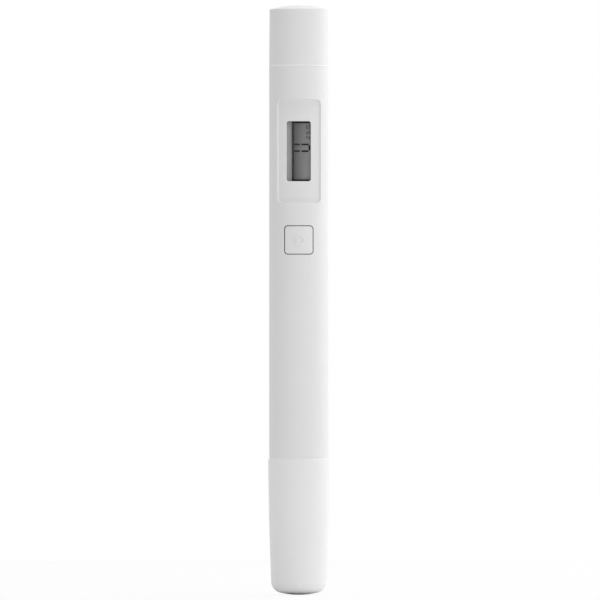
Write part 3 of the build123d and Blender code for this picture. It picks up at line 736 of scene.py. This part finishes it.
def ridge(mesh, line):
    """A low rounded ridge along (x, z) points, from (offset, height) rows across it."""
    rings = []
    for i, (x, z) in enumerate(line):
        before, after = line[max(i - 1, 0)], line[min(i + 1, len(line) - 1)]
        run = math.hypot(after[0] - before[0], after[1] - before[1])
        side_x, side_z = (after[1] - before[1]) / run, -(after[0] - before[0]) / run
        rings.append([
            mesh.verts.new(on_key(x + side_x * off, z + side_z * off, height))
            for off, height in ridge_section
        ])
    for ring, following in zip(rings, rings[1:]):
        for a in range(len(ridge_section) - 1):
            mesh.faces.new((ring[a], ring[a + 1], following[a + 1], following[a]))
    mesh.faces.new(rings[0])
    mesh.faces.new(rings[-1])


# %% The ring with its gap to the left, and the stroke in the gap
sign_radius = 1.25
half_gap = 38
sign_steps = 44
ring_line = []
for step in range(sign_steps + 1):
    angle = math.radians(180 + half_gap + (360 - 2 * half_gap) * step / sign_steps)
    ring_line.append((sign_radius * math.cos(angle), key_z + sign_radius * math.sin(angle)))
stroke_start, stroke_step, stroke_points = -1.65, 0.2, 8
stroke_line = [(stroke_start + stroke_step * step, key_z) for step in range(stroke_points)]

sign_mesh = bmesh.new()
ridge(sign_mesh, ring_line)
ridge(sign_mesh, stroke_line)
key_sign = new_piece("key_sign", sign_mesh, finishes["white_key"], "button")
for face in key_sign.data.polygons:
    face.use_smooth = True

# %% [markdown]
# ## The lips at the two seams
# Where a cap meets the tube a fine pale line shows, not a dark slit. A thin lip stands on each
# cap's edge and fills the slit and the rounded edges beside it, almost flush with the tube. Its
# finish is whiter than the walls, a painted highlight for the light that the rounded edges of the
# seam catch. The highlight could be a pale stripe in the tube's finish, but a stripe would stay
# behind on the tube when a cap is pulled.
# Each lip is a turned ring on its own cap.

# %% Turn a lip from its section
# Each row is a radius and how far the lip reaches to either side of the middle of the seam there.
lip_rows = [
    (7.02, 0.065), (7.42, 0.065), (7.50, 0.078), (7.54, 0.10), (7.57, 0.13), (7.59, 0.165),
    (7.603, 0.12), (7.606, 0.03)
]
lip_steps = 128


def lip(body, seam_z, flat_below):
    """A thin ring in a seam. It fills the rounded edge above, and also the one below unless the
    face there is flat."""
    straight = lip_rows[0][1]
    above = [(r, seam_z + reach) for r, reach in lip_rows]
    below = [(r, seam_z - (straight if flat_below else reach)) for r, reach in lip_rows]
    section = above + below[::-1]
    mesh = bmesh.new()
    rings = []
    for step in range(lip_steps):
        angle = 2 * math.pi * step / lip_steps
        rings.append([
            mesh.verts.new((r * math.cos(angle) / to_mm, r * math.sin(angle) / to_mm, z / to_mm))
            for r, z in section
        ])
    for ring, following in zip(rings, rings[1:] + rings[:1]):
        for a in range(len(section)):
            b = (a + 1) % len(section)
            mesh.faces.new((ring[a], following[a], following[b], ring[b]))
    # The lip's whiter finish is a painted highlight.
    new_piece(body + "_lip", mesh, lip_painted_highlight, body)


tube_low, tube_high = (corner[2] * to_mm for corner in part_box("main_tube"))
probe_cap_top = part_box("probe_cap")[1][2] * to_mm
battery_cap_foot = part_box("battery_cap")[0][2] * to_mm
lip("probe_cap", (probe_cap_top + tube_low) / 2, flat_below=True)
lip("battery_cap", (tube_high + battery_cap_foot) / 2, flat_below=False)

# %% [markdown]
# ## The floor
# The photograph has a pure white ground with no edge to it. The floor is a pale disc. To the
# camera it is mostly clear, so that it runs into the white of the room, and a share of it stays
# ordinary matt paint, so that the pen's soft shadow is kept. To every other ray it is paint.
#
# A floor that glows white to the camera would look the same under the standing pen. But the
# probe cap pulls off downwards, through the floor, and a clear floor lets it be seen there.

# %% A white disc that keeps the shadow
floor_radius, floor_sides = 0.40, 96
floor_drop = 0.00002
clear_share = 0.86
floor_material = bpy.data.materials.new("floor_paint")
tree = fresh_tree(floor_material)
ray = tree.node("ShaderNodeLightPath", output="Is Camera Ray")
paper = noise(tree.node("ShaderNodeTexCoord", output="Object"), 60.0, 3.0)
paint = tree.node("ShaderNodeBsdfDiffuse", None, {"Color": blend(paper, 0.86, 0.90)})
clear = tree.node("ShaderNodeBsdfTransparent", None, {"Color": shade(1.0)})
floor_shader = tree.node("ShaderNodeMixShader", None, {0: ray * clear_share, 1: paint, 2: clear})
tree.node("ShaderNodeOutputMaterial", None, {"Surface": floor_shader})

floor_mesh = bmesh.new()
bmesh.ops.create_circle(floor_mesh, cap_ends=True, segments=floor_sides, radius=floor_radius)
floor = new_object("floor", floor_mesh, floor_material)
floor.location = (0.0, 0.0, -floor_drop)
print("The floor reaches", floor_radius, "m")

# %% [markdown]
# ## The room
# The world is white to the camera, to reflections and through the window, as a white tent would
# be. For the matt light it is a plain grey level, so that whites stay below clipping and the
# lamps can still model the round tube. One bright world would be simpler, but it would turn
# every side of the pen the same white.

# %% White to look at, level grey to light with
matt_level = 0.635
scene = bpy.context.scene
scene.world = bpy.data.worlds.new("studio")
sky = fresh_tree(scene.world)
seen = sky.node("ShaderNodeLightPath", output="Is Camera Ray")
mirrored = sky.node("ShaderNodeLightPath", output="Is Glossy Ray")
passed = sky.node("ShaderNodeLightPath", output="Is Transmission Ray")
seen = seen.maths("MAXIMUM", seen, seen.maths("MAXIMUM", mirrored, passed))
white = sky.node("ShaderNodeBackground", None, {"Color": shade(1.0), "Strength": 1.0})
level = sky.node("ShaderNodeBackground", None, {"Color": shade(1.0), "Strength": matt_level})
room = sky.node("ShaderNodeMixShader", None, {0: seen, 1: level, 2: white})
sky.node("ShaderNodeOutputWorld", None, {"Surface": room})
print("The room's matt level is", matt_level)

# %% [markdown]
# ## The lamps
# In the photograph the tube is grey on its left and nearly white on its right, with no hard
# line between. That is one large soft panel at the right and a weaker one in front of it, one
# over the pen's end and one high behind it, which lights the caps' rims. Small lamps would draw
# hard shadows into the recess and round the key.

# %% Four soft panels
panel_side = 0.5
panel_target = (0.0, 0.0, 0.085)


def panel(name, place, watts):
    """A soft square lamp that points at the pen's middle and doesn't show itself."""
    light = bpy.data.lights.new(name, "AREA")
    light.shape = "RECTANGLE"
    light.size = panel_side
    light.size_y = panel_side
    light.energy = watts
    lamp = bpy.data.objects.new(name, light)
    lamp.location = place
    lamp.visible_camera = False
    lamp.visible_glossy = False
    scene.collection.objects.link(lamp)
    towards = [t - p for t, p in zip(panel_target, place)]
    yaw = math.atan2(towards[1], towards[0])
    pitch = math.atan2(towards[2], math.hypot(towards[0], towards[1]))
    lamp.rotation_euler = (pitch + math.pi / 2, 0.0, yaw - math.pi / 2)
    print(name, "at", place, "with", watts, "W")


panel("right_panel", (0.60, 0.30, 0.085), 1.60)
panel("front_panel", (0.50, -0.50, 0.085), 1.05)
panel("top_panel", (0.10, -0.10, 0.75), 1.15)
panel("back_panel", (0.30, 0.45, 0.60), 1.40)

# %% [markdown]
# ## The camera
# The photograph is level, straight on and very flat: both ends of the pen look equally wide. So
# the camera stands three metres away behind a long lens. An orthographic camera would be
# flatter still, but the long lens keeps the little perspective that is there.

# %% A long lens at the height of the pen's middle
side_shift, distance, eye_height = 0.0003, 2.989, 0.0755
camera_data = bpy.data.cameras.new("camera")
camera_data.lens = 700.0
camera_data.sensor_width = 36.0
camera_data.clip_end = 20.0
camera = bpy.data.objects.new("camera", camera_data)
camera.location = (side_shift, -distance, eye_height)
camera.rotation_euler = (math.pi / 2, 0.0, 0.0)
scene.collection.objects.link(camera)
scene.camera = camera
scene.view_settings.view_transform = "Standard"
print("The camera stands", distance, "m away")
